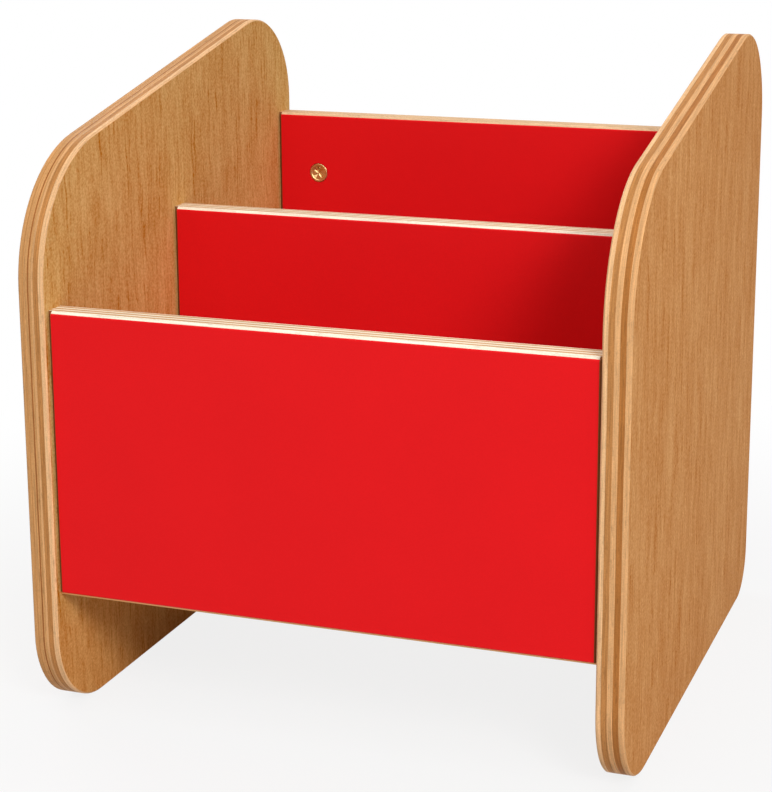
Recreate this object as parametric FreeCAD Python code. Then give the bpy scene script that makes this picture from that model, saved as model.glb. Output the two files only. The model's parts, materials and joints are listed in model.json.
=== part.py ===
"""Two-slot picture book browser bin in plywood, joined with knock-down cam fittings.

Two rounded plywood side panels carry three upright dividers, which step up from front to back,
and the floor panel that the books stand on. The dividers are plywood faced with laminate on both
sides. Every board is drawn to the side panels by turn-to-lock cams and located by wooden dowels.

Frame: millimetres, origin on the ground below the middle of the bin, +X to the right, the front
faces -Y, +Z up.
"""
import FreeCAD, Part
import math
import os

V = FreeCAD.Vector

# Overall form
OVERALL_WIDTH = 400.0
DEPTH = 400.0
FRONT_HEIGHT = 366.0  # where the front edge would meet the sloping top edge
BACK_HEIGHT = 452.0  # where the back edge would meet the sloping top edge

# Side panels
SIDE_THICKNESS = 18.0
TOP_FRONT_RADIUS = 92.0
TOP_BACK_RADIUS = 66.0
BOTTOM_FRONT_RADIUS = 57.0
BOTTOM_BACK_RADIUS = 32.0
SIDE_EASING = 1.0  # bevel of the sawn edges

# Dividers
CORE_THICKNESS = 18.0
LAMINATE_THICKNESS = 0.8
DIVIDER_THICKNESS = CORE_THICKNESS + 2 * LAMINATE_THICKNESS
DIVIDER_CHAMFER = 2.4  # bevel through the laminate into the core, all round
DIVIDER_RECESS = 4.0  # outer dividers behind the side panels' front and back edges
DIVIDER_BOTTOM = 87.0
FRONT_DIVIDER_TOP = 278.0
MIDDLE_DIVIDER_TOP = 315.0
BACK_DIVIDER_TOP = 360.0
MIDDLE_DIVIDER_SETBACK = 187.0  # its front face behind the front of the bin

# Floor panel, between the outer dividers and under the middle one
FLOOR_THICKNESS = 18.0
FLOOR_BOTTOM = 92.0
FLOOR_CHAMFER = 1.0

# Cam: a turned disc that draws the bolt's head in as it turns half a turn
CAM_DIAMETER = 15.0
CAM_HEIGHT = 13.0
CAM_INSET = 34.0  # its axis to the end of the board
CAM_POCKET_CLEARANCE = 0.05
CAM_POCKET_DEPTH = 13.4
CAM_RIM_CHAMFER = 0.5
CAM_FACE_RING = 5.9  # radius inside which the face is dished
CAM_FACE_DISH = 0.4
BOLT_AXIS_DEPTH = 9.0  # bolt axis below the face that the cam is let into
CAM_GROOVE_RADIUS = 6.4
CAM_ECCENTRICITY = 0.4
CAM_GROOVE_HEIGHT = 6.0
CAM_SLOT_HEIGHT = 3.8
CAM_HUB_RADIUS = 2.2
CAM_SECTOR_MARGIN = 3.2  # how far the groove runs past half a turn
CAM_ENTRY_RADIUS = 3.0
CAM_SIDES = 14  # the round pieces that repeat are drawn with flat sides
GROOVE_SIDES = 12
CROSS_LENGTH = 7.6
CROSS_WIDTH = 1.5
CROSS_DEPTH = 3.0
CROSS_ROOT_LENGTH = 2.6
CROSS_TURN = 45.0  # degrees, with the cam locked

# Bolt: head and neck in the cam, shank in the board, thread in the side panel
HEAD_RADIUS = 2.7
HEAD_START = 3.35
HEAD_END = 5.55
NECK_RADIUS = 1.6
NECK_END = 9.0
SHANK_START = 10.8
SHANK_RADIUS = 3.4
THREAD_RADIUS = 3.0
THREAD_LENGTH = 11.0
THREAD_TIP = 1.0
BOARD_BORE_RADIUS = 4.0
SIDE_HOLE_RADIUS = 3.05
SIDE_HOLE_DEPTH = 11.5
BOLT_SIDES = 8

# Dowel, fluted
DOWEL_RADIUS = 4.0
DOWEL_FLUTE_RADIUS = 3.7
DOWEL_FLUTES = 8
DOWEL_LENGTH = 30.0
DOWEL_IN_SIDE = 11.0
DOWEL_CHAMFER = 1.0
DOWEL_CLEARANCE = 0.05
DOWEL_HOLE_EXTRA = 0.5

# Places of the fittings on a board's end
DIVIDER_FITTING_INSET = 47.0  # from the divider's top and bottom edges
FLOOR_FITTING_INSET = 60.0  # from the floor panel's front and back edges

# Derived
INNER_HALF = OVERALL_WIDTH / 2 - SIDE_THICKNESS
FRONT_Y = -DEPTH / 2
BACK_Y = DEPTH / 2
FRONT_DIVIDER_Y = FRONT_Y + DIVIDER_RECESS
MIDDLE_DIVIDER_Y = FRONT_Y + MIDDLE_DIVIDER_SETBACK
BACK_DIVIDER_Y = BACK_Y - DIVIDER_RECESS - DIVIDER_THICKNESS
FLOOR_TOP = FLOOR_BOTTOM + FLOOR_THICKNESS
FLOOR_FRONT_Y = FRONT_DIVIDER_Y + DIVIDER_THICKNESS
FLOOR_BACK_Y = BACK_DIVIDER_Y

FACES_BACK = V(0, 1, 0)
FACES_FRONT = V(0, -1, 0)
FACES_DOWN = V(0, 0, -1)
UPWARDS = V(0, 0, 1)
LEFT_END = V(-1, 0, 0)
RIGHT_END = V(1, 0, 0)
ENDS = {"left": LEFT_END, "right": RIGHT_END}
SAME_AXIS = 0.5  # unit vectors whose dot product is above this run along the same axis


def tangent_points(before, corner, after, radius):
    """Where a fillet of this radius leaves and meets the two sides, and its middle point."""
    to_before = (before - corner).normalize()
    to_after = (after - corner).normalize()
    half_angle = to_before.getAngle(to_after) / 2
    reach = radius / math.tan(half_angle)
    bisector = (to_before + to_after).normalize()
    centre = corner + bisector * (radius / math.sin(half_angle))
    return corner + to_before * reach, centre - bisector * radius, corner + to_after * reach


def rounded_outline(corners, radii):
    """A closed wire of straight sides with a tangent arc at each corner."""
    count = len(corners)
    arcs = []
    for index in range(count):
        before = corners[index - 1]
        after = corners[(index + 1) % count]
        arcs.append(tangent_points(before, corners[index], after, radii[index]))
    edges = []
    for index in range(count):
        start, middle, end = arcs[index]
        edges.append(Part.Arc(start, middle, end).toShape())
        edges.append(Part.LineSegment(end, arcs[(index + 1) % count][0]).toShape())
    return Part.Wire(edges)


def bevelled(board, bevel, normal):
    """The board with a bevel round each of its two faces that are square to the normal."""
    rims = []
    for edge in board.Edges:
        along = edge.tangentAt(edge.FirstParameter)
        if abs(along.dot(normal)) < SAME_AXIS:
            rims.append(edge)
    return board.makeChamfer(bevel, rims)


def side_blank(x_low):
    """A side panel before drilling, cut to its rounded outline, with bevelled edges."""
    corners = [
        V(x_low, FRONT_Y, 0),
        V(x_low, BACK_Y, 0),
        V(x_low, BACK_Y, BACK_HEIGHT),
        V(x_low, FRONT_Y, FRONT_HEIGHT),
    ]
    radii = [BOTTOM_FRONT_RADIUS, BOTTOM_BACK_RADIUS, TOP_BACK_RADIUS, TOP_FRONT_RADIUS]
    face = Part.Face(rounded_outline(corners, radii))
    panel = face.extrude(V(SIDE_THICKNESS, 0, 0))
    return bevelled(panel, SIDE_EASING, RIGHT_END)


def board_blank(low, high, bevel, normal):
    """A rectangular board between two corners, its broad faces bevelled all round."""
    size = high - low
    return bevelled(Part.makeBox(size.x, size.y, size.z, low), bevel, normal)


def placed(shape, at, out, across):
    """Moves a fitting from its own frame: local +Z is out of the face, local +X is across."""
    side = out.cross(across)
    matrix = FreeCAD.Matrix(
        across.x, side.x, out.x, at.x,
        across.y, side.y, out.y, at.y,
        across.z, side.z, out.z, at.z,
        0, 0, 0, 1,
    )
    moved = shape.copy()
    moved.transformShape(matrix, False)
    return moved


def spokes(direction):
    """Two unit vectors square to a direction and to each other."""
    helper = RIGHT_END if abs(direction.z) > SAME_AXIS else UPWARDS
    first = direction.cross(helper).normalize()
    return first, direction.cross(first).normalize()


def ring(centre, direction, radii):
    """Points round an axis, with one corner at each of the radii in turn."""
    first, second = spokes(direction)
    points = []
    for index, radius in enumerate(radii):
        turn = 2 * math.pi * index / len(radii)
        across = first * math.cos(turn) + second * math.sin(turn)
        points.append(centre + across * radius)
    return points


def flat(points):
    """A flat face inside a closed row of points."""
    return Part.Face(Part.makePolygon(points + points[:1]))


def banded(rings):
    """A solid whose skin runs through rings of as many points each, flat between the corners."""
    faces = [flat(rings[0]), flat(rings[-1])]
    for near, far in zip(rings, rings[1:]):
        for index in range(len(near)):
            after = (index + 1) % len(near)
            faces.append(flat([near[index], near[after], far[after], far[index]]))
    solid = Part.makeSolid(Part.makeShell(faces)).removeSplitter()
    return solid if solid.Volume > 0 else solid.reversed()


def turned(start, direction, profile, sides):
    """A turned piece from (distance along the axis, radius) pairs, flat-sided."""
    rings = []
    for distance, radius in profile:
        rings.append(ring(start + direction * distance, direction, [radius] * sides))
    return banded(rings)


def rod(start, direction, length, radius, sides):
    """A round rod with flat sides, inside its true radius."""
    return flat(ring(start, direction, [radius] * sides)).extrude(direction * length)


def bore(start, direction, length, radius, sides):
    """The waste of a drilled hole with flat sides, outside its true radius."""
    return rod(start, direction, length, radius / math.cos(math.pi / sides), sides)


def cam_groove():
    """The space that the bolt's head and neck sweep inside a cam over half a turn."""
    level = -BOLT_AXIS_DEPTH
    wide = 2 * CAM_DIAMETER
    sector_low = V(-wide / 2, CAM_SECTOR_MARGIN - wide, -wide / 2)
    sector = Part.makeBox(wide, wide, wide, sector_low)
    head_low = level - CAM_GROOVE_HEIGHT / 2
    head_at = V(-CAM_ECCENTRICITY, 0, head_low)
    head_room = bore(head_at, UPWARDS, CAM_GROOVE_HEIGHT, CAM_GROOVE_RADIUS, GROOVE_SIDES)
    neck_low = V(-wide / 2, -wide / 2, level - CAM_SLOT_HEIGHT / 2)
    neck_room = Part.makeBox(wide, wide, CAM_SLOT_HEIGHT, neck_low)
    hub = rod(V(0, 0, head_low), UPWARDS, CAM_GROOVE_HEIGHT, CAM_HUB_RADIUS, BOLT_SIDES)
    swept = head_room.fuse(neck_room).cut(hub).common(sector)
    entry_at = V(-CAM_HUB_RADIUS, 0, level)
    entry = bore(entry_at, V(-1, 0, 0), CAM_DIAMETER, CAM_ENTRY_RADIUS, BOLT_SIDES)
    return swept.fuse(entry)


def rectangle(length, width, level):
    """The corners of a rectangle centred on the local Z axis."""
    x = length / 2
    y = width / 2
    return [V(-x, -y, level), V(x, -y, level), V(x, y, level), V(-x, y, level)]


def cross_recess():
    """A driver recess of two crossed slots that grow shorter towards the bottom."""
    top = rectangle(CROSS_LENGTH, CROSS_WIDTH, 0)
    root = rectangle(CROSS_ROOT_LENGTH, CROSS_WIDTH, -CROSS_DEPTH)
    slot = banded([top, root])
    crossing = slot.copy()
    crossing.rotate(V(0, 0, 0), UPWARDS, 90)
    return slot.fuse(crossing)


def cam():
    """A cam in its own frame: its face in the XY plane, the bolt coming in along +X, locked."""
    radius = CAM_DIAMETER / 2
    profile = [
        (0, radius - CAM_RIM_CHAMFER),
        (CAM_RIM_CHAMFER, radius),
        (CAM_HEIGHT, radius),
    ]
    body = turned(V(0, 0, 0), V(0, 0, -1), profile, CAM_SIDES)
    dish = rod(V(0, 0, -CAM_FACE_DISH), UPWARDS, CAM_HEIGHT, CAM_FACE_RING, CAM_SIDES)
    recess = cross_recess()
    recess.rotate(V(0, 0, 0), UPWARDS, CROSS_TURN)
    return body.cut(dish).cut(recess).cut(cam_groove())


def bolt():
    """A bolt in the cam's frame, turned about its axis, which lies along +X."""
    end = CAM_INSET + THREAD_LENGTH
    profile = [
        (HEAD_START, HEAD_RADIUS),
        (HEAD_END, HEAD_RADIUS),
        (HEAD_END, NECK_RADIUS),
        (NECK_END, NECK_RADIUS),
        (SHANK_START, SHANK_RADIUS),
        (CAM_INSET, SHANK_RADIUS),
        (CAM_INSET, THREAD_RADIUS),
        (end - THREAD_TIP, THREAD_RADIUS),
        (end, THREAD_RADIUS - THREAD_TIP),
    ]
    return turned(V(0, 0, -BOLT_AXIS_DEPTH), V(1, 0, 0), profile, BOLT_SIDES)


def dowel():
    """A fluted dowel in the frame of a board's end: the end is the plane x = 0."""
    axis = V(1, 0, 0)
    low = DOWEL_IN_SIDE - DOWEL_LENGTH
    high = DOWEL_IN_SIDE
    full = [DOWEL_RADIUS, DOWEL_FLUTE_RADIUS] * DOWEL_FLUTES
    tip = [radius * (1 - DOWEL_CHAMFER / DOWEL_RADIUS) for radius in full]
    stations = [
        (low, tip),
        (low + DOWEL_CHAMFER, full),
        (high - DOWEL_CHAMFER, full),
        (high, tip),
    ]
    return banded([ring(V(x, 0, 0), axis, radii) for x, radii in stations])


def cam_pocket():
    """What is drilled from a board for one cam and its bolt, in the cam's frame."""
    pocket_radius = CAM_DIAMETER / 2 + CAM_POCKET_CLEARANCE
    pocket_at = V(0, 0, -CAM_POCKET_DEPTH)
    pocket = bore(pocket_at, UPWARDS, CAM_POCKET_DEPTH, pocket_radius, CAM_SIDES)
    bolt_at = V(0, 0, -BOLT_AXIS_DEPTH)
    return pocket.fuse(bore(bolt_at, V(1, 0, 0), CAM_INSET, BOARD_BORE_RADIUS, BOLT_SIDES))


def side_hole():
    """The pilot hole in a side panel for one bolt, in the cam's frame."""
    start = V(CAM_INSET, 0, -BOLT_AXIS_DEPTH)
    return bore(start, V(1, 0, 0), SIDE_HOLE_DEPTH, SIDE_HOLE_RADIUS, BOLT_SIDES)


def dowel_hole():
    """The hole for one dowel, through the board's end and into the side panel."""
    low = DOWEL_IN_SIDE - DOWEL_LENGTH - DOWEL_HOLE_EXTRA
    length = DOWEL_LENGTH + DOWEL_HOLE_EXTRA
    return bore(V(low, 0, 0), V(1, 0, 0), length, DOWEL_RADIUS + DOWEL_CLEARANCE, BOLT_SIDES)


class Board:
    """A board between the side panels, with the places of the fittings at its two ends."""

    def __init__(self, name, blank, out, spots, dowel_at):
        self.name = name
        self.blank = blank
        self.out = out  # the way that its cams face
        self.spots = spots  # name to place of the cams on that face, x ignored
        self.dowel_at = dowel_at  # place of the dowel on the board's end, x ignored

    def cams(self):
        """Yields each cam's name, place on the face and direction to its side panel."""
        for end_name, across in ENDS.items():
            for spot_name, point in self.spots.items():
                at = V(across.x * (INNER_HALF - CAM_INSET), point.y, point.z)
                yield f"{self.name}_{end_name}_{spot_name}", at, across

    def dowels(self):
        """Yields each dowel's name, place on the board's end and direction."""
        for end_name, across in ENDS.items():
            at = V(across.x * INNER_HALF, self.dowel_at.y, self.dowel_at.z)
            yield f"{self.name}_{end_name}", at, across

    def drilled(self):
        """The board with its cam pockets and dowel holes."""
        board = self.blank
        for _, at, across in self.cams():
            board = board.cut(placed(cam_pocket(), at, self.out, across))
        for _, at, across in self.dowels():
            board = board.cut(placed(dowel_hole(), at, self.out, across))
        return board

    def drill_side(self, panel, side):
        """The side panel in that direction with the holes for this board's bolts and dowel."""
        for _, at, across in self.cams():
            if across == side:
                panel = panel.cut(placed(side_hole(), at, self.out, across))
        for _, at, across in self.dowels():
            if across == side:
                panel = panel.cut(placed(dowel_hole(), at, self.out, across))
        return panel


class Divider(Board):
    """An upright board of plywood, faced with laminate at the front and at the rear."""

    def __init__(self, name, front_y, bottom, top, out):
        low = V(-INNER_HALF, front_y, bottom)
        high = V(INNER_HALF, front_y + DIVIDER_THICKNESS, top)
        blank = board_blank(low, high, DIVIDER_CHAMFER, out)
        face_y = high.y if out == FACES_BACK else low.y
        spots = {
            "upper": V(0, face_y, top - DIVIDER_FITTING_INSET),
            "lower": V(0, face_y, bottom + DIVIDER_FITTING_INSET),
        }
        dowel_at = V(0, face_y, (top + bottom) / 2) - out * BOLT_AXIS_DEPTH
        super().__init__(name, blank, out, spots, dowel_at)
        self.front_y = front_y

    def layers(self):
        """The drilled board, split into its front laminate, plywood core and rear laminate."""
        whole = self.drilled()
        core_y = self.front_y + LAMINATE_THICKNESS
        rear_y = core_y + CORE_THICKNESS
        return {
            "front_laminate": slab(whole, self.front_y, LAMINATE_THICKNESS),
            "core": slab(whole, core_y, CORE_THICKNESS),
            "rear_laminate": slab(whole, rear_y, LAMINATE_THICKNESS),
        }


class FloorPanel(Board):
    """The level board that the books stand on. Its cams are let into the underside."""

    def __init__(self):
        low = V(-INNER_HALF, FLOOR_FRONT_Y, FLOOR_BOTTOM)
        high = V(INNER_HALF, FLOOR_BACK_Y, FLOOR_TOP)
        blank = board_blank(low, high, FLOOR_CHAMFER, FACES_DOWN)
        spots = {
            "front": V(0, low.y + FLOOR_FITTING_INSET, low.z),
            "back": V(0, high.y - FLOOR_FITTING_INSET, low.z),
        }
        dowel_at = V(0, (low.y + high.y) / 2, low.z + BOLT_AXIS_DEPTH)
        super().__init__("floor", blank, FACES_DOWN, spots, dowel_at)


def slab(board, y_low, thickness):
    """The layer of a board between two planes square to Y."""
    reach = 2 * OVERALL_WIDTH
    layer = Part.makeBox(reach, thickness, reach, V(-reach / 2, y_low, 0))
    return board.common(layer)


def save(name, shape):
    """Writes one node, after checking that it is a single closed solid."""
    solids = shape.Solids
    if len(solids) != 1 or not shape.isValid():
        raise ValueError(f"{name}: {len(solids)} solids, valid {shape.isValid()}")
    solids[0].exportStep(os.path.join("parts", f"{name}.step"))


def save_side_panels(boards):
    """Writes the two side panels, drilled for every board between them."""
    x_lows = {"left": -OVERALL_WIDTH / 2, "right": INNER_HALF}
    for end_name, side in ENDS.items():
        panel = side_blank(x_lows[end_name])
        for board in boards:
            panel = board.drill_side(panel, side)
        save(f"{end_name}_side_panel", panel)


def save_fittings(boards):
    """Writes the cams, bolts and dowels of every board."""
    one_cam = cam()
    one_bolt = bolt()
    one_dowel = dowel()
    for board in boards:
        for name, at, across in board.cams():
            save(f"cam_{name}", placed(one_cam, at, board.out, across))
            save(f"bolt_{name}", placed(one_bolt, at, board.out, across))
        for name, at, across in board.dowels():
            save(f"dowel_{name}", placed(one_dowel, at, board.out, across))


def main():
    """Builds every node."""
    os.makedirs("parts", exist_ok=True)
    dividers = [
        Divider("front", FRONT_DIVIDER_Y, DIVIDER_BOTTOM, FRONT_DIVIDER_TOP, FACES_BACK),
        Divider("middle", MIDDLE_DIVIDER_Y, FLOOR_TOP, MIDDLE_DIVIDER_TOP, FACES_BACK),
        Divider("back", BACK_DIVIDER_Y, DIVIDER_BOTTOM, BACK_DIVIDER_TOP, FACES_FRONT),
    ]
    floor_panel = FloorPanel()
    for divider in dividers:
        for layer_name, layer in divider.layers().items():
            save(f"{divider.name}_divider_{layer_name}", layer)
    save("floor_panel", floor_panel.drilled())
    save_side_panels([*dividers, floor_panel])
    save_fittings([*dividers, floor_panel])


main()
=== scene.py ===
import json
import math

import bmesh
import bpy
from bpy.props import FloatProperty, FloatVectorProperty, PointerProperty
from bpy.types import NodeSocket, Operator, Panel, PropertyGroup
from mathutils import Matrix, Vector


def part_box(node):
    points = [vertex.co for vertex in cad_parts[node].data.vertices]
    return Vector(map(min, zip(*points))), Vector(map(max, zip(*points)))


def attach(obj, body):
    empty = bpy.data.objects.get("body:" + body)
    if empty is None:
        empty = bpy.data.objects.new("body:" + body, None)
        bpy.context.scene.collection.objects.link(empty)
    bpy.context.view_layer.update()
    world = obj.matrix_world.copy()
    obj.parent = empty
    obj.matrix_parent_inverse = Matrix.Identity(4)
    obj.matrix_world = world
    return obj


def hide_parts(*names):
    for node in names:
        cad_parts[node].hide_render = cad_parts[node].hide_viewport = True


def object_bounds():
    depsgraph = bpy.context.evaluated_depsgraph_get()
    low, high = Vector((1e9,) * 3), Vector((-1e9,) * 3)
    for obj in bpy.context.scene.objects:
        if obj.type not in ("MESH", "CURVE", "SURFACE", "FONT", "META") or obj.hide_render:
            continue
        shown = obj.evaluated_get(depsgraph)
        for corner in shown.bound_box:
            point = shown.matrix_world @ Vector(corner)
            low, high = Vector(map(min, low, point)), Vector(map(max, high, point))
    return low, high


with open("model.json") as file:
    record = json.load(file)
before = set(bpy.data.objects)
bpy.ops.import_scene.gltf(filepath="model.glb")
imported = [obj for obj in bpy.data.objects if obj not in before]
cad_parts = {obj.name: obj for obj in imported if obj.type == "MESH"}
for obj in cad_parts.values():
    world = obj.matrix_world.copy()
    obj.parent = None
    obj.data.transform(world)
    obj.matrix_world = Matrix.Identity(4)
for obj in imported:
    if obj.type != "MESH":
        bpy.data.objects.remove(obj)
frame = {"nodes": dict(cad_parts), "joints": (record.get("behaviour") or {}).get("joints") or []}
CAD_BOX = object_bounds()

bl_info = {
    "name": "Picture book browser bin",
    "version": (1, 0, 0),
    "blender": (4, 5, 0),
    "location": "3D View > Sidebar > Book Bin",
    "description": "Finishes a two-slot plywood book bin and makes its cams, floor and lights",
    "category": "Object",
}

MM = 0.001
DIVIDERS = ("front", "middle", "back")

# The plies of each side panel from left to right: a colour of WoodSettings and a share of the
# thickness. Each layer runs crosswise to the next.
SIDE_PLIES = {
    "left_side_panel": (
        ("soft", 0.18), ("mid", 0.03), ("soft", 0.165), ("line", 0.05), ("soft", 0.1),
        ("light", 0.08), ("mid", 0.2), ("pale", 0.195),
    ),
    "right_side_panel": (
        ("pale", 0.19), ("mid", 0.21), ("light", 0.19), ("dark", 0.21), ("light", 0.2),
    ),
}
CORE_PLIES = 7  # in a divider or the floor panel
DARK_PLY_SHARE = 0.143  # of the thickness, for each darker ply of a core
PLY_WANDER = 0.035  # how far the plies stray from an even thickness, as a share of the board's
VENEER_DEPTH = 0.4995  # of the thickness: further than this from the board's middle is veneer

# The left panel's inner leaf of veneer is yellower than its outer one. It gets browner from the
# first of these heights down to the second: painted shade under the floor panel.
OUTER_TINT = (0.97, 0.772, 0.755)
FOOT_SHADE_TINT = (1.08, 0.86, 0.78)
FOOT_SHADE_HEIGHTS = (105 * MM, 55 * MM)

# The Specular IOR Level of the matt lacquer, on the veneered faces and on the sawn edges.
FACE_SHEEN = 0.003
EDGE_SHEEN = 0.03

DIVIDER_BEVEL = 2.4 * MM  # all round a divider, through the laminate into the core
CORE_BEVEL = 1.6 * MM  # what is left of it in the plywood
SEAM = 0.02 * MM  # keeps the painted shade of a bevel off the face beside it
CUT_EASING = 0.15 * MM  # rounding of the edges that are cut into a cam
CAM_FOOT_BEVEL = 0.3 * MM
DISH_WALL = 0.5 * MM  # width of the slope round the dish of a cam's face
DISH_LIP = (0.15 * MM, 0.1 * MM)  # width and depth of the gentler start of that slope
ABOVE_FACE = 0.1 * MM  # how far a cutting tool sticks out of the face that it cuts

IMAGE_LONG_SIDE = 792  # pixels, the longer side of the rendered image
LIGHT_DISTANCE = 3.6  # metres, from the middle of the bin
# Where each soft light stands, in degrees round from the front and degrees up, and its width
# in metres. Its power is a setting.
LIGHTS = {
    "key": (40, 32, 1.0),
    "front": (0, 62, 2.2),
    "rear": (150, 60, 2.2),
    "side": (-125, 22, 2.2),
}
FLOOR_RADIUS = 14  # metres
NEAR_WHITE = 0.84  # how white the floor is to the eye under the bin
FADE = (0.28, 0.75)  # metres from the bin's middle between which the floor turns wholly white


# ---- Values that a user would change ----------------------------------------------------------

def linear(code):
    """The linear colour of an sRGB hex code such as "#C58E5C"."""
    channels = [int(code[index:index + 2], 16) / 255 for index in (1, 3, 5)]
    return [c / 12.92 if c <= 0.04045 else ((c + 0.055) / 1.055) ** 2.4 for c in channels]


def colour(name, description, code):
    """A colour property whose default is an sRGB hex code."""
    return FloatVectorProperty(
        name=name, description=description, subtype="COLOR", size=3, min=0, max=1,
        default=linear(code),
    )


def length(name, description, millimetres):
    """A length property whose default is given in millimetres."""
    return FloatProperty(
        name=name, description=description, subtype="DISTANCE", unit="LENGTH", min=0,
        precision=5, default=millimetres * MM,
    )


def angle(name, description, degrees):
    """An angle property whose default is given in degrees."""
    return FloatProperty(
        name=name, description=description, subtype="ANGLE", unit="ROTATION",
        default=math.radians(degrees),
    )


def power(name, description, watts):
    """The power of a light."""
    return FloatProperty(
        name=name, description=description, unit="POWER", min=0, default=watts,
    )


class WoodSettings(PropertyGroup):
    """Colours and grain of the plywood."""

    left_light: colour("Left maple, light", "Pale streaks of the left panel's faces", "#DAAD6B")
    left_dark: colour("Left maple, dark", "Dark streaks of the left panel's faces", "#BB7A29")
    right_light: colour("Right maple, light", "Pale streaks of the right panel's faces", "#D79A5E")
    right_dark: colour("Right maple, dark", "Dark streaks of the right panel's faces", "#B86C22")
    pale: colour("Pale ply", "Palest ply of the side panels", "#E9B987")
    light: colour("Light ply", "Plies of the side panels cut along the grain", "#DCA772")
    soft: colour("Soft ply", "Plies of the left side panel's outer half", "#CB955F")
    mid: colour("Middle ply", "Plies of the side panels cut across the grain", "#BC824B")
    dark: colour("Dark ply", "The darkest ply of the side panels", "#B1733B")
    line: colour("Glue line", "Dark glue line in the left side panel", "#9F6232")
    core_light: colour("Core ply, light", "Plies of the dividers cut along the grain", "#FBEFD8")
    # A darker copy of the light core ply: painted shade on the back divider and the floor panel.
    core_back_shaded: colour("Core ply, rear", "The same in the back divider and the floor", "#E8C59C")
    core_dark: colour("Core ply, dark", "Plies of the dividers cut across the grain", "#D6A672")
    # The underside colour is painted shade on the lower edge of a divider.
    underside_shade: colour("Underside", "Lower edge of a divider, where no lacquer reaches", "#F0B272")
    # The joint colour is painted shade in the groove at each end of a divider.
    joint: colour("Joint line", "Shadowed end of a divider, next to the side panel", "#8A5732")
    birch_light: colour("Birch, light", "Pale streaks of the floor panel's faces", "#E6C79C")
    birch_dark: colour("Birch, dark", "Dark streaks of the floor panel's faces", "#CFA674")
    dowel: colour("Beech", "Wood of the dowels", "#D3A874")
    streak_width: length("Streak width", "Width of the streaks of the grain", 3)
    streak_length: length("Streak length", "Length of the streaks of the grain", 36)
    fibre_width: length("Fibre width", "Width of the fine marks of the grain", 1.4)
    fibre_length: length("Fibre length", "Length of the fine marks of the grain", 11)
    fleck_length: length("Fleck length", "Length of the short dark flecks", 9)
    vessel_width: length("Vessel line width", "Width of the dark lines of the grain", 2.5)
    vessel_length: length("Vessel line length", "Length of the dark lines of the grain", 75)
    wander: length("Grain wander", "How far the grain strays from a straight line", 5)


class LaminateSettings(PropertyGroup):
    """The laminate on both faces of each divider."""

    red: colour("Red", "Colour of the laminate", "#E6191D")
    grain: length("Texture size", "Size of the pressed texture", 0.9)
    roughness: FloatProperty(
        name="Roughness", description="Roughness of the laminate's skin", default=0.42,
        min=0, max=1, subtype="FACTOR",
    )


class FittingSettings(PropertyGroup):
    """The knock-down fittings that hold the boards to the side panels."""

    brass: colour("Brass plating", "Plating of the cams", "#EEC68C")
    zinc: colour("Zinc plating", "Plating of the bolts", "#C6C9CC")
    rim_round: length("Rim rounding", "Radius of the cam's outer edge", 0.5)
    dish_radius: length("Dish radius", "Radius of the dished middle of the cam's face", 5.9)
    dish_depth: length("Dish depth", "Depth of the dished middle of the cam's face", 0.4)
    recess_length: length("Recess length", "Length of each arm pair of the driver recess", 8.8)
    recess_root: length("Recess root", "The same at the bottom of the recess", 5)
    recess_width: length("Recess width", "Width of the arms of the driver recess", 2.5)
    recess_floor: length("Recess floor", "The same at the bottom of the recess", 0.5)
    recess_depth: length("Recess depth", "Depth of the driver recess", 1.35)
    pit_radius: length("Pit radius", "Radius of the moulded pit that marks the cam's turn", 1.15)
    pit_reach: length("Pit reach", "From the cam's middle to the pit", 3.9)
    pit_depth: length("Pit depth", "Depth of the pit", 3.6)
    bolt_depth: length("Bolt depth", "Depth of the bolt's axis below the cam's face", 9)
    groove_radius: length("Groove radius", "Radius of the groove that draws the bolt in", 6.4)
    groove_offset: length("Groove offset", "How far the groove is off the cam's centre", 0.4)
    groove_height: length("Groove height", "Room for the bolt's head", 6)
    slot_height: length("Slot height", "Room for the bolt's neck", 3.8)
    hub_radius: length("Hub radius", "Radius of the cam's solid middle", 2.2)
    sector_margin: length("Groove run-out", "How far the groove runs past half a turn", 3.2)
    entry_radius: length("Entry radius", "Radius of the hole that lets the bolt's head in", 3)


class StudioSettings(PropertyGroup):
    """Camera, lights and floor."""

    yaw: angle("Camera yaw", "How far the camera stands round to the right", 19.13)
    pitch: angle("Camera pitch", "How far the camera looks down", 13.08)
    distance: length("Camera distance", "From the camera to the point that it looks at", 1409.9)
    aim: FloatVectorProperty(
        name="Camera aim", description="The point that the camera looks at",
        subtype="XYZ", unit="LENGTH", size=3, default=(0.0079, 0.0062, 0.2445),
    )
    focal_pixels: FloatProperty(
        name="Focal length", description="Focal length in pixels of the rendered image",
        default=2010,
    )
    shift_x: FloatProperty(
        name="Shift X", description="Sideways shift of the lens", default=-0.06,
    )
    shift_y: FloatProperty(
        name="Shift Y", description="Upward shift of the lens", default=-0.1,
    )
    key_power: power("Key power", "Power of the soft light at the front right", 68)
    front_power: power("Front power", "Power of the large light high up in front", 39)
    rear_power: power("Rear power", "Power of the large light at the rear right", 15)
    side_power: power("Side power", "Power of the large light at the rear left", 55)
    ambient: FloatProperty(
        name="Ambient", description="Strength of the light from all round", default=0.345, min=0,
    )
    paper: colour("Floor", "Pale studio paper", "#CDCDCD")


class BookBinSettings(PropertyGroup):
    """All settings of the book bin."""

    wood: PointerProperty(type=WoodSettings)
    laminate: PointerProperty(type=LaminateSettings)
    fittings: PointerProperty(type=FittingSettings)
    studio: PointerProperty(type=StudioSettings)


# ---- Node building ----------------------------------------------------------------------------

def add(tree, kind, inputs=None, **settings):
    """Adds a node: settings are its own, and each input gets a value or a socket to feed it."""
    node = tree.nodes.new(kind)
    for name, value in settings.items():
        setattr(node, name, value)
    for key, value in (inputs or {}).items():
        if isinstance(value, NodeSocket):
            tree.links.new(value, node.inputs[key])
        else:
            node.inputs[key].default_value = value
    return node


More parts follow.
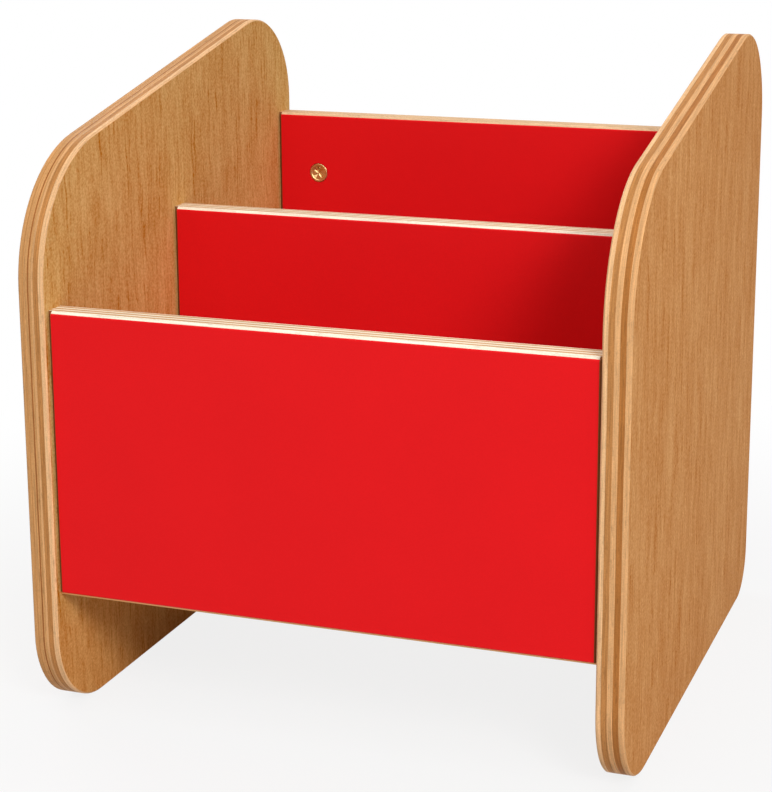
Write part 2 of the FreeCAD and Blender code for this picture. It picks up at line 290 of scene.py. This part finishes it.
def new_material(name, values):
    """A material with one Principled shader; returns it with its tree and shader."""
    material = bpy.data.materials.new(name)
    material.use_nodes = True
    tree = material.node_tree
    tree.nodes.clear()
    shader = add(tree, "ShaderNodeBsdfPrincipled", values)
    add(tree, "ShaderNodeOutputMaterial", {"Surface": shader.outputs["BSDF"]})
    return material, tree, shader


def place_socket(tree):
    """Where a point is, in metres, in the bin's own frame."""
    return add(tree, "ShaderNodeTexCoord").outputs["Object"]


def coordinate(tree, place, axis):
    """How far along an axis a place is: 0, 1 and 2 are X, Y and Z."""
    return add(tree, "ShaderNodeSeparateXYZ", {"Vector": place}).outputs[axis]


def calculated(tree, operation, *terms):
    """The result of a Math node on these sockets and plain numbers."""
    return add(tree, "ShaderNodeMath", dict(enumerate(terms)), operation=operation).outputs["Value"]


def mapped(tree, amount, source, result=(0.0, 1.0), **settings):
    """An amount moved from the source range to the result range."""
    node = add(tree, "ShaderNodeMapRange", {
        "Value": amount, "From Min": source[0], "From Max": source[1],
        "To Min": result[0], "To Max": result[1],
    }, **settings)
    return node.outputs["Result"]


def plain_tone(tree, tone):
    """One even colour, as a socket."""
    return add(tree, "ShaderNodeCombineXYZ", dict(enumerate(tone))).outputs["Vector"]


def tinted(tree, tone, tint):
    """The tone multiplied by a tint."""
    node = add(tree, "ShaderNodeVectorMath", {0: tone, 1: tint}, operation="MULTIPLY")
    return node.outputs["Vector"]


def shaded(tree, tone, amount, source, result):
    """The tone made darker or lighter: amounts in the source range scale it by the result range."""
    factor = mapped(tree, amount, source, result)
    node = add(tree, "ShaderNodeVectorMath", {0: tone, "Scale": factor}, operation="SCALE")
    return node.outputs["Vector"]


def mixed(tree, amount, first, second):
    """The colour that lies this far from the first to the second, and past them if need be."""
    node = add(
        tree, "ShaderNodeMix", {"Factor": amount, 4: first, 5: second}, data_type="VECTOR",
        clamp_factor=False,
    )
    return node.outputs[1]


def chosen(tree, choice, first, second):
    """The first colour where the choice is 0 and the second where it is 1."""
    node = add(
        tree, "ShaderNodeMix", {"Factor": choice, 4: first, 5: second}, data_type="VECTOR"
    )
    return node.outputs[1]


def chosen_amount(tree, choice, first, second):
    """The first amount where the choice is 0 and the second where it is 1."""
    node = add(tree, "ShaderNodeMix", {"Factor": choice, 2: first, 3: second}, data_type="FLOAT")
    return node.outputs["Result"]


def noise(tree, place, sizes, **values):
    """A noise node whose marks have these sizes in metres along X, Y and Z."""
    scale = [1 / size for size in sizes]
    mapping = add(tree, "ShaderNodeMapping", {"Vector": place, "Scale": scale})
    return add(tree, "ShaderNodeTexNoise", {
        "Vector": mapping.outputs["Vector"], "Scale": 1.0, **values,
    })


def marks(tree, place, sizes, detail=2.0):
    """Noise from 0 to 1 whose marks have these sizes in metres along X, Y and Z."""
    return noise(tree, place, sizes, Detail=detail, Roughness=0.55).outputs["Fac"]


def sizes_along(axis, along, across):
    """Sizes of marks that run along one axis, as X, Y and Z."""
    return [along if index == axis else across for index in range(3)]


def wandering(tree, place, sizes, reach):
    """Places moved about by up to half this reach in metres, by noise of these sizes."""
    shift = noise(tree, place, sizes, Detail=1.0).outputs["Color"]
    node = add(
        tree, "ShaderNodeVectorMath", {0: shift, 1: [reach] * 3, 2: place},
        operation="MULTIPLY_ADD",
    )
    return node.outputs["Vector"]


def summed(tree, layers):
    """One value from 0 to 1 out of noise layers, each with the weight that it swings by."""
    total = 0.5 - sum(weight for _, weight in layers) / 2
    for amount, weight in layers:
        total = calculated(tree, "MULTIPLY_ADD", amount, weight, total)
    return total


def fine_bump(tree, shader, height, distance):
    """Raises the surface by the height pattern, by this distance in metres."""
    bump = add(tree, "ShaderNodeBump", {"Strength": 1.0, "Distance": distance, "Height": height})
    tree.links.new(bump.outputs["Normal"], shader.inputs["Normal"])


# ---- Plywood ----------------------------------------------------------------------------------

def veneer_tone(tree, place, tones, grain_axis, wood):
    """Sliced veneer: broad figure, streaks, fine fibres, speckle and thin dark lines."""
    def along_grain(along, across, detail=2.0):
        return marks(tree, place, sizes_along(grain_axis, along, across), detail)

    # The grain bends slowly over some 100 mm, and a little more over some 20 mm.
    place = wandering(tree, place, sizes_along(grain_axis, 110 * MM, 70 * MM), 2 * wood.wander)
    place = wandering(tree, place, sizes_along(grain_axis, 22 * MM, 16 * MM), wood.wander)
    figure = along_grain(260 * MM, 34 * MM)
    mottle = along_grain(60 * MM, 11 * MM)
    # The vessels of maple are 0.1 mm wide: they are drawn as streaks of some millimetres.
    streaks = along_grain(wood.streak_length, wood.streak_width, detail=3.0)
    fibres = along_grain(wood.fibre_length, wood.fibre_width, detail=3.0)
    speckle = marks(tree, place, [1.7 * MM] * 3, detail=1.0)
    lines = mapped(tree, along_grain(wood.vessel_length, wood.vessel_width), (0.57, 0.7))
    amount = summed(tree, (
        (figure, 0.65), (mottle, 0.95), (streaks, 1.15), (fibres, 0.5), (speckle, 1.6),
        (lines, -0.6),
    ))
    flecks = along_grain(wood.fleck_length, 1.2 * MM, detail=1.0)
    tone = shaded(tree, mixed(tree, amount, *tones), flecks, (0.62, 0.75), (1.0, 0.93))
    return tone, fibres


def shaded_foot(tree, place, tone):
    """Painted shade: the leaf gets browner at its foot, under the floor panel."""
    share = mapped(
        tree, coordinate(tree, place, 2), FOOT_SHADE_HEIGHTS, interpolation_type="SMOOTHSTEP"
    )
    return chosen(tree, share, tone, tinted(tree, tone, FOOT_SHADE_TINT))


def core_layers(wood, pale):
    """The plies of a divider or floor panel: light ones with thin darker ones between them."""
    dark_plies = CORE_PLIES // 2
    light_share = (1 - DARK_PLY_SHARE * dark_plies) / (CORE_PLIES - dark_plies)
    return [
        (wood.core_dark, DARK_PLY_SHARE) if index % 2 else (pale, light_share)
        for index in range(CORE_PLIES)
    ]


def layered(tree, depth, layers):
    """Flat layers of (colour, share of the thickness) pairs, laid one on the other."""
    node = add(tree, "ShaderNodeValToRGB", {"Fac": depth})
    node.color_ramp.interpolation = "CONSTANT"
    elements = node.color_ramp.elements
    while len(elements) < len(layers):
        elements.new(1)
    height = 0
    for element, (tone, share) in zip(elements, layers):
        element.position = height
        element.color = (*tone, 1)
        height += share
    return node.outputs["Color"]


def ply_edge_tone(tree, place, depth, axis, layers):
    """The plies that show on a board's sawn edges, by depth through its thickness."""
    # Plies are never of quite even thickness: the wander is about 0.3 mm.
    wander = marks(tree, place, sizes_along(axis, 400 * MM, 60 * MM))
    shifted = calculated(tree, "MULTIPLY_ADD", wander, PLY_WANDER, depth)
    centred = calculated(tree, "SUBTRACT", shifted, PLY_WANDER / 2)
    streaks = marks(tree, place, sizes_along(axis, 1.0 * MM, 34 * MM), detail=4.0)
    tone = shaded(tree, layered(tree, centred, layers), streaks, (0.3, 0.7), (0.78, 1.2))
    flecks = marks(tree, place, sizes_along(axis, 0.9 * MM, 7 * MM), detail=1.0)
    tone = shaded(tree, tone, flecks, (0.6, 0.72), (1.0, 0.8))
    # Open pores of the plies cut across the grain.
    pores = marks(tree, place, [0.9 * MM] * 3, detail=1.0)
    tone = shaded(tree, tone, pores, (0.3, 0.7), (1.07, 0.93))
    return tone, streaks


def at_end(tree, place):
    """1 on the bevels at both ends of a divider, next to the side panels."""
    distance = calculated(tree, "ABSOLUTE", coordinate(tree, place, 0))
    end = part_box("front_divider_core")[1].x
    return calculated(tree, "GREATER_THAN", distance, end - DIVIDER_BEVEL + SEAM)


def shaded_joints_and_lower_edge(tree, place, node, axis, from_middle, tone, wood):
    """A divider's core with painted shade on the bevels at its ends and on its lower edge."""
    low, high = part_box(node)
    # The joint with the side panels is dark with painted shade of the groove, but only on the
    # bevels.
    bevel_share = CORE_BEVEL / (high[axis] - low[axis])
    on_bevel = calculated(tree, "GREATER_THAN", from_middle, 0.5 - bevel_share)
    joint = calculated(tree, "MULTIPLY", at_end(tree, place), on_bevel)
    tone = chosen(tree, joint, tone, wood.joint)
    # The lower edge is browner: painted shade under the divider.
    edge_top = low.z + CORE_BEVEL + 0.1 * MM
    shaded_lower_edge = calculated(tree, "LESS_THAN", coordinate(tree, place, 2), edge_top)
    return chosen(tree, shaded_lower_edge, tone, wood.underside_shade)


def plywood(name, node, axis, layers, veneer, grain_axis, wood, shaded_edges=False, two_leaves=False):
    """Lacquered plywood: veneer on the broad faces and plies on the sawn edges.

    A divider gets painted shade on the bevels at its ends and on its lower edge. A board with two
    leaves has another veneer on its outer face, and painted shade at the foot of its inner leaf.
    """
    # A matt lacquer over wood: IOR 1.5, with a trace of gloss that shows on the sawn edges.
    material, tree, shader = new_material(name, {"Roughness": 0.45, "IOR": 1.5})
    place = place_socket(tree)
    low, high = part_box(node)
    depth = mapped(tree, coordinate(tree, place, axis), (low[axis], high[axis]))
    from_middle = calculated(tree, "ABSOLUTE", calculated(tree, "SUBTRACT", depth, 0.5))
    edge, streaks = ply_edge_tone(tree, place, depth, axis, layers)
    face, fibres = veneer_tone(tree, place, veneer, grain_axis, wood)
    if two_leaves:
        inner_half = calculated(tree, "GREATER_THAN", depth, 0.5)
        # The inner leaf's browner foot is painted shade under the floor panel.
        outer, inner = tinted(tree, face, OUTER_TINT), shaded_foot(tree, place, face)
        face = chosen(tree, inner_half, outer, inner)
    on_face = calculated(tree, "GREATER_THAN", from_middle, VENEER_DEPTH)
    tone = chosen(tree, on_face, edge, face)
    if shaded_edges:
        tone = shaded_joints_and_lower_edge(tree, place, node, axis, from_middle, tone, wood)
    tree.links.new(tone, shader.inputs["Base Color"])
    sheen = chosen_amount(tree, on_face, EDGE_SHEEN, FACE_SHEEN)
    tree.links.new(sheen, shader.inputs["Specular IOR Level"])
    # The sanded face is smoother than the sawn edge.
    height = chosen_amount(tree, on_face, streaks, calculated(tree, "MULTIPLY", fibres, 0.25))
    fine_bump(tree, shader, height, 0.08 * MM)
    return material


# ---- The other materials ----------------------------------------------------------------------

def pressed_laminate(settings, wood):
    """High-pressure laminate: a smooth, strong red with a faint pressed texture."""
    material, tree, shader = new_material("High pressure laminate, pressed red", {
        "Roughness": settings.roughness, "IOR": 1.5, "Specular IOR Level": 0.06,
    })
    place = place_socket(tree)
    # The real texture is about 0.3 mm fine: it is drawn coarser so that it shows.
    texture = marks(tree, place, [settings.grain] * 3, detail=3.0)
    tone = shaded(tree, plain_tone(tree, settings.red), texture, (0.3, 0.7), (0.975, 1.02))
    cloud = marks(tree, place, [70 * MM] * 3)
    tone = shaded(tree, tone, cloud, (0.3, 0.7), (0.985, 1.015))
    # The bevels next to the side panels get the same painted shade as the groove in the core.
    tone = chosen(tree, at_end(tree, place), tone, wood.joint)
    tree.links.new(tone, shader.inputs["Base Color"])
    fine_bump(tree, shader, texture, 0.02 * MM)
    return material


def cast_brass(settings):
    """Zinc casting plated with brass: warm metal, slightly grainy, with soft highlights."""
    material, tree, shader = new_material("Die cast zinc, brass plated", {
        "Metallic": 1.0, "Roughness": 0.4,
    })
    skin = marks(tree, place_socket(tree), [0.5 * MM] * 3, detail=3.0)
    tone = shaded(tree, plain_tone(tree, settings.brass), skin, (0.35, 0.7), (0.86, 1.06))
    tree.links.new(tone, shader.inputs["Base Color"])
    fine_bump(tree, shader, skin, 0.03 * MM)
    return material


def plated_steel(settings):
    """Turned steel, zinc plated: cool grey metal with fine rings round the axis."""
    material, tree, shader = new_material("Turned steel, zinc plated", {
        "Metallic": 1.0, "Roughness": 0.3,
    })
    rings = marks(tree, place_socket(tree), sizes_along(0, 0.3 * MM, 20 * MM))
    tone = shaded(tree, plain_tone(tree, settings.zinc), rings, (0.3, 0.7), (0.9, 1.05))
    tree.links.new(tone, shader.inputs["Base Color"])
    fine_bump(tree, shader, rings, 0.02 * MM)
    return material


def raw_beech(wood):
    """Turned beech, unfinished: pale and matt with short flecks along the dowel."""
    material, tree, shader = new_material("Beech, turned and fluted", {
        "Roughness": 0.62, "IOR": 1.5,
    })
    place = place_socket(tree)
    fibres = marks(tree, place, sizes_along(0, 12 * MM, 0.5 * MM), detail=3.0)
    tone = shaded(tree, plain_tone(tree, wood.dowel), fibres, (0.3, 0.7), (0.9, 1.06))
    flecks = marks(tree, place, sizes_along(0, 1.6 * MM, 0.3 * MM), detail=1.0)
    tone = shaded(tree, tone, flecks, (0.6, 0.7), (1.0, 0.72))
    tree.links.new(tone, shader.inputs["Base Color"])
    fine_bump(tree, shader, fibres, 0.05 * MM)
    return material


def finish_node(name, material):
    """Gives a CAD node its material."""
    node = frame["nodes"][name]
    if not node.material_slots:
        node.data.materials.append(material)
    for slot in node.material_slots:
        slot.material = material


# ---- Mesh building ----------------------------------------------------------------------------

def mesh_object(name, mesh):
    """An object in the scene from a bmesh, which it uses up."""
    bmesh.ops.recalc_face_normals(mesh, faces=mesh.faces)
    data = bpy.data.meshes.new(name)
    mesh.to_mesh(data)
    mesh.free()
    made = bpy.data.objects.new(name, data)
    bpy.context.scene.collection.objects.link(made)
    return made


def turned(name, profile, steps):
    """A closed turned solid about Z, from (radius, height) pairs that start and end on the axis."""
    mesh = bmesh.new()
    points = [mesh.verts.new((radius, 0, height)) for radius, height in profile]
    lines = [mesh.edges.new(pair) for pair in zip(points, points[1:])]
    bmesh.ops.spin(
        mesh, geom=points + lines, cent=(0, 0, 0), axis=(0, 0, 1), angle=math.tau, steps=steps,
        use_merge=True,
    )
    bmesh.ops.remove_doubles(mesh, verts=mesh.verts, dist=1e-6)
    return mesh_object(name, mesh)


def turned_disc(name, radius, low, high, steps):
    """A closed round disc about Z between two heights."""
    return turned(name, [(0, low), (radius, low), (radius, high), (0, high)], steps)


def hull(name, corners):
    """The convex solid round a set of corners."""
    mesh = bmesh.new()
    for corner in corners:
        mesh.verts.new(corner)
    bmesh.ops.convex_hull(mesh, input=mesh.verts)
    bmesh.ops.dissolve_limit(
        mesh, angle_limit=math.radians(1), verts=mesh.verts, edges=mesh.edges
    )
    return mesh_object(name, mesh)


def block(name, low, high):
    """A rectangular block between two corners."""
    return hull(name, [
        (x, y, z) for x in (low[0], high[0]) for y in (low[1], high[1]) for z in (low[2], high[2])
    ])


def bake_modifiers(made):
    """Replaces an object's mesh by the one that its modifiers give."""
    graph = bpy.context.evaluated_depsgraph_get()
    data = bpy.data.meshes.new_from_object(made.evaluated_get(graph))
    made.modifiers.clear()
    made.data = data


def combine(body, tool, operation):
    """Cuts a tool from a body, or joins or intersects them, and uses the tool up."""
    step = body.modifiers.new("combine", "BOOLEAN")
    step.object = tool
    step.operation = operation
    step.solver = "EXACT"
    bpy.context.view_layer.update()
    bake_modifiers(body)
    bpy.data.objects.remove(tool)
    return body


# ---- The cam ----------------------------------------------------------------------------------

def driver_recess(fittings):
    """Cutting tools for the two crossed slots, which narrow to their bottoms."""
    tools = []
    mouth = ABOVE_FACE / 2 - fittings.dish_depth
    levels = (
        (fittings.recess_length, fittings.recess_width, mouth),
        (fittings.recess_root, fittings.recess_floor, -fittings.recess_depth),
    )
    for degrees in (45, 135):
        turn = Matrix.Rotation(math.radians(degrees), 3, "Z")
        tools.append(hull("recess", [
            turn @ Vector((along, across, level))
            for reach, width, level in levels
            for along in (-reach / 2, reach / 2)
            for across in (-width / 2, width / 2)
        ]))
    return tools


def pit_tool(fittings):
    """The small moulded pit beside the driver recess, a little narrower at its bottom."""
    radius, bottom = fittings.pit_radius, -fittings.pit_depth
    tool = turned("pit", [
        (0, ABOVE_FACE), (radius, ABOVE_FACE), (radius * 0.8, bottom), (0, bottom),
    ], steps=24)
    tool.matrix_world = Matrix.Translation((0, -fittings.pit_reach, 0))
    return tool


def groove_tool(fittings, height):
    """The eccentric room that the bolt's head and neck sweep over half a turn of the cam."""
    level = -fittings.bolt_depth
    reach = 20 * MM
    half = fittings.groove_height / 2
    room = turned_disc("room", fittings.groove_radius, level - half, level + half, steps=48)
    room.location.x = -fittings.groove_offset
    slot_low = level - fittings.slot_height / 2
    slot_high = level + fittings.slot_height / 2
    slot = block("slot", (-reach, -reach, slot_low), (reach, reach, slot_high))
    room = combine(room, slot, "UNION")
    hub = turned_disc("hub", fittings.hub_radius, level - height, level + height, steps=32)
    room = combine(room, hub, "DIFFERENCE")
    sector = block(
        "sector", (-reach, -reach, level - half * 2),
        (reach, fittings.sector_margin, level + half * 2),
    )
    return combine(room, sector, "INTERSECT")


def entry_tool(fittings):
    """The hole that the bolt's head passes through when the cam is unlocked."""
    tool = turned_disc("entry", fittings.entry_radius, 0, 12 * MM, steps=32)
    tool.matrix_world = (
        Matrix.Translation((-fittings.hub_radius, 0, -fittings.bolt_depth))
        @ Matrix.Rotation(-math.pi / 2, 4, "Y")
    )
    return tool


def cam_profile(fittings, radius, height):
    """Half the cam's section: from the middle of its dished face over the rim to its foot."""
    dish_radius, dish_level = fittings.dish_radius, -fittings.dish_depth
    lip_width, lip_depth = DISH_LIP
    dish = [
        (0, dish_level), (dish_radius - DISH_WALL, dish_level),
        (dish_radius - lip_width, -lip_depth), (dish_radius, 0),
    ]
    rounding = fittings.rim_round
    rim = [
        (radius + rounding * (math.sin(turn) - 1), rounding * (math.cos(turn) - 1))
        for turn in (math.radians(degrees) for degrees in (0, 22.5, 45, 67.5, 90))
    ]
    foot = [(radius, -height + CAM_FOOT_BEVEL), (radius - CAM_FOOT_BEVEL, -height), (0, -height)]
    return dish + rim + foot


def cam_mesh(fittings, radius, height):
    """One cam in its own frame: its face is the plane z = 0, and the bolt comes in along +X."""
    body = turned("cam", cam_profile(fittings, radius, height), steps=72)
    tools = [
        *driver_recess(fittings), pit_tool(fittings), groove_tool(fittings, height),
        entry_tool(fittings),
    ]
    for tool in tools:
        combine(body, tool, "DIFFERENCE")
    easing = body.modifiers.new("easing", "BEVEL")
    easing.width = CUT_EASING
    easing.segments = 3
    easing.limit_method = "ANGLE"
    easing.angle_limit = math.radians(40)
    bake_modifiers(body)
    body.data.polygons.foreach_set("use_smooth", [True] * len(body.data.polygons))
    # The flat faces keep their own normals, so that they shade flat up to the eased edges.
    normals = body.modifiers.new("normals", "WEIGHTED_NORMAL")
    normals.weight = 100
    bake_modifiers(body)
    data = body.data
    bpy.data.objects.remove(body)
    return data


def cam_place(joint):
    """Where a cam stands, its Z out of the board and its X towards the bolt, and its height."""
    low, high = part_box(joint["child"])
    out = Vector(joint["axis"]).normalized()
    height = abs((high - low).dot(out))
    centre = (low + high) / 2 + out * height / 2
    across = Vector((math.copysign(1, centre.x), 0, 0))
    turn = Matrix((across, out.cross(across), out)).transposed().to_4x4()
    return Matrix.Translation(centre) @ turn, height


# ---- The studio -------------------------------------------------------------------------------

def background_rays(tree):
    """1 for what the eye sees, also by reflection or through glass, and 0 for light on the bin."""
    path = add(tree, "ShaderNodeLightPath")
    seen = path.outputs["Is Camera Ray"]
    for kind in ("Is Glossy Ray", "Is Transmission Ray"):
        seen = calculated(tree, "MAXIMUM", seen, path.outputs[kind])
    return seen


def studio_world(settings):
    """A white surround for the eye, and soft light from all round for the bin."""
    world = bpy.data.worlds.new("Soft studio")
    bpy.context.scene.world = world
    world.use_nodes = True
    tree = world.node_tree
    tree.nodes.clear()
    strength = mapped(tree, background_rays(tree), (0, 1), (settings.ambient, 1))
    light = add(tree, "ShaderNodeBackground", {"Color": (1, 1, 1, 1), "Strength": strength})
    add(tree, "ShaderNodeOutputWorld", {"Surface": light.outputs["Background"]})


def paper_material(settings):
    """Pale studio paper, which the eye loses in the white surround away from the bin."""
    material, tree, shader = new_material("Studio paper, matt", {
        "Base Color": (*settings.paper, 1), "Roughness": 0.9, "Specular IOR Level": 0.1,
    })
    distance = add(
        tree, "ShaderNodeVectorMath", {0: place_socket(tree)}, operation="LENGTH"
    ).outputs["Value"]
    whiteness = mapped(tree, distance, FADE, (NEAR_WHITE, 1), interpolation_type="SMOOTHSTEP")
    share = calculated(tree, "MULTIPLY", whiteness, background_rays(tree))
    white = add(tree, "ShaderNodeEmission", {"Color": (1, 1, 1, 1), "Strength": 1.0})
    blended = add(tree, "ShaderNodeMixShader", {
        0: share, 1: shader.outputs["BSDF"], 2: white.outputs["Emission"],
    })
    output = next(node for node in tree.nodes if node.type == "OUTPUT_MATERIAL")
    tree.links.new(blended.outputs["Shader"], output.inputs["Surface"])
    return material


def make_floor(settings):
    """A wide round floor under the bin's feet."""
    mesh = bmesh.new()
    bmesh.ops.create_circle(mesh, cap_ends=True, radius=FLOOR_RADIUS, segments=96)
    floor = mesh_object("studio_floor", mesh)
    floor.location.z = CAD_BOX[0].z
    floor.data.materials.append(paper_material(settings))


def direction(azimuth, elevation):
    """The way from the bin to something at these angles in degrees: azimuth 0 is the front."""
    turn = math.radians(azimuth)
    rise = math.radians(elevation)
    return Vector((
        math.sin(turn) * math.cos(rise), -math.cos(turn) * math.cos(rise), math.sin(rise),
    ))


def soft_light(name, azimuth, elevation, width, watts):
    """A square soft light that faces the middle of the bin."""
    data = bpy.data.lights.new(name, "AREA")
    data.shape = "SQUARE"
    data.size = width
    data.energy = watts
    light = bpy.data.objects.new(name, data)
    bpy.context.scene.collection.objects.link(light)
    way = direction(azimuth, elevation)
    light.location = (CAD_BOX[0] + CAD_BOX[1]) / 2 + way * LIGHT_DISTANCE
    light.rotation_euler = (-way).to_track_quat("-Z", "Y").to_euler()


def make_camera(settings):
    """The camera, to the right and a little above, with a lens that is slightly shifted."""
    data = bpy.data.cameras.new("camera")
    data.lens = settings.focal_pixels / IMAGE_LONG_SIDE * data.sensor_width
    data.shift_x = settings.shift_x
    data.shift_y = settings.shift_y
    camera = bpy.data.objects.new("camera", data)
    bpy.context.scene.collection.objects.link(camera)
    back = direction(math.degrees(settings.yaw), math.degrees(settings.pitch))
    camera.location = Vector(settings.aim) + back * settings.distance
    camera.rotation_euler = (-back).to_track_quat("-Z", "Y").to_euler()
    bpy.context.scene.camera = camera


# ---- Operators --------------------------------------------------------------------------------

class BOOKBIN_OT_side_panels(Operator):
    """Finish the two side panels in lacquered maple plywood"""

    bl_idname = "bookbin.side_panels"
    bl_label = "Finish Side Panels"

    def execute(self, context):
        wood = context.scene.book_bin.wood
        for side in ("left", "right"):
            name = f"{side}_side_panel"
            layers = [(getattr(wood, tone), share) for tone, share in SIDE_PLIES[name]]
            veneer = (getattr(wood, f"{side}_dark"), getattr(wood, f"{side}_light"))
            material = plywood(
                f"Maple plywood, lacquered, {name}", name, axis=0, layers=layers, veneer=veneer,
                grain_axis=2, wood=wood, two_leaves=side == "left",
            )
            finish_node(name, material)
        return {"FINISHED"}


class BOOKBIN_OT_dividers(Operator):
    """Finish the three dividers: birch plywood cores with laminate on both faces"""

    bl_idname = "bookbin.dividers"
    bl_label = "Finish Dividers"

    def execute(self, context):
        settings = context.scene.book_bin
        wood = settings.wood
        red = pressed_laminate(settings.laminate, wood)
        for name in DIVIDERS:
            core = f"{name}_divider_core"
            # The back divider's plies take the darker copy of the core ply: painted shade.
            pale = wood.core_back_shaded if name == "back" else wood.core_light
            material = plywood(
                f"Birch plywood, lacquered, {name}", core, axis=1, layers=core_layers(wood, pale),
                veneer=(wood.birch_dark, wood.birch_light), grain_axis=0, wood=wood, shaded_edges=True,
            )
            finish_node(core, material)
            finish_node(f"{name}_divider_front_laminate", red)
            finish_node(f"{name}_divider_rear_laminate", red)
        return {"FINISHED"}


class BOOKBIN_OT_floor_panel(Operator):
    """Finish the floor panel in lacquered birch plywood"""

    bl_idname = "bookbin.floor_panel"
    bl_label = "Finish Floor Panel"

    def execute(self, context):
        wood = context.scene.book_bin.wood
        # The floor panel's plies take the darker copy of the core ply: painted shade.
        material = plywood(
            "Birch plywood, lacquered, floor", "floor_panel", axis=2,
            layers=core_layers(wood, wood.core_back_shaded),
            veneer=(wood.birch_dark, wood.birch_light), grain_axis=0, wood=wood,
        )
        finish_node("floor_panel", material)
        return {"FINISHED"}


class BOOKBIN_OT_cams(Operator):
    """Make the sixteen plated cams, each on its own body"""

    bl_idname = "bookbin.cams"
    bl_label = "Make Cams"

    def execute(self, context):
        fittings = context.scene.book_bin.fittings
        metal = cast_brass(fittings)
        low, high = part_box(frame["joints"][0]["child"])
        height = cam_place(frame["joints"][0])[1]
        data = cam_mesh(fittings, (high.x - low.x) / 2, height)
        data.materials.clear()
        data.materials.append(metal)
        for joint in frame["joints"]:
            node = joint["child"]
            finish_node(node, metal)
            piece = bpy.data.objects.new(f"turned_{node}", data)
            context.scene.collection.objects.link(piece)
            piece.matrix_world = cam_place(joint)[0]
            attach(piece, node)
            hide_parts(node)
        return {"FINISHED"}


class BOOKBIN_OT_hidden_fittings(Operator):
    """Finish the bolts in plated steel and the dowels in beech"""

    bl_idname = "bookbin.hidden_fittings"
    bl_label = "Finish Bolts and Dowels"

    def execute(self, context):
        settings = context.scene.book_bin
        steel = plated_steel(settings.fittings)
        beech = raw_beech(settings.wood)
        for name in frame["nodes"]:
            if name.startswith("bolt_"):
                finish_node(name, steel)
            elif name.startswith("dowel_"):
                finish_node(name, beech)
        return {"FINISHED"}


class BOOKBIN_OT_stage(Operator):
    """Make the floor, the soft lights and the camera"""

    bl_idname = "bookbin.stage"
    bl_label = "Make Stage"

    def execute(self, context):
        settings = context.scene.book_bin.studio
        context.scene.view_settings.view_transform = "Standard"
        studio_world(settings)
        make_floor(settings)
        for name, place in LIGHTS.items():
            soft_light(f"{name}_light", *place, getattr(settings, f"{name}_power"))
        make_camera(settings)
        return {"FINISHED"}


class BOOKBIN_PT_sidebar(Panel):
    """Lists the steps that finish the bin"""

    bl_label = "Book Bin"
    bl_idname = "BOOKBIN_PT_sidebar"
    bl_space_type = "VIEW_3D"
    bl_region_type = "UI"
    bl_category = "Book Bin"

    def draw(self, context):
        for step in STEPS:
            self.layout.operator(step.bl_idname)


STEPS = (
    BOOKBIN_OT_side_panels,
    BOOKBIN_OT_dividers,
    BOOKBIN_OT_floor_panel,
    BOOKBIN_OT_cams,
    BOOKBIN_OT_hidden_fittings,
    BOOKBIN_OT_stage,
)
CLASSES = (
    WoodSettings, LaminateSettings, FittingSettings, StudioSettings, BookBinSettings,
    *STEPS, BOOKBIN_PT_sidebar,
)


def register():
    """Adds the settings, steps and panel to Blender."""
    for item in CLASSES:
        bpy.utils.register_class(item)
    bpy.types.Scene.book_bin = PointerProperty(type=BookBinSettings)


def unregister():
    """Takes the settings, steps and panel out of Blender."""
    del bpy.types.Scene.book_bin
    for item in reversed(CLASSES):
        bpy.utils.unregister_class(item)


def main():
    """Runs every step in order."""
    register()
    bpy.ops.bookbin.side_panels()
    bpy.ops.bookbin.dividers()
    bpy.ops.bookbin.floor_panel()
    bpy.ops.bookbin.cams()
    bpy.ops.bookbin.hidden_fittings()
    bpy.ops.bookbin.stage()


if __name__ == "__main__":
    main()
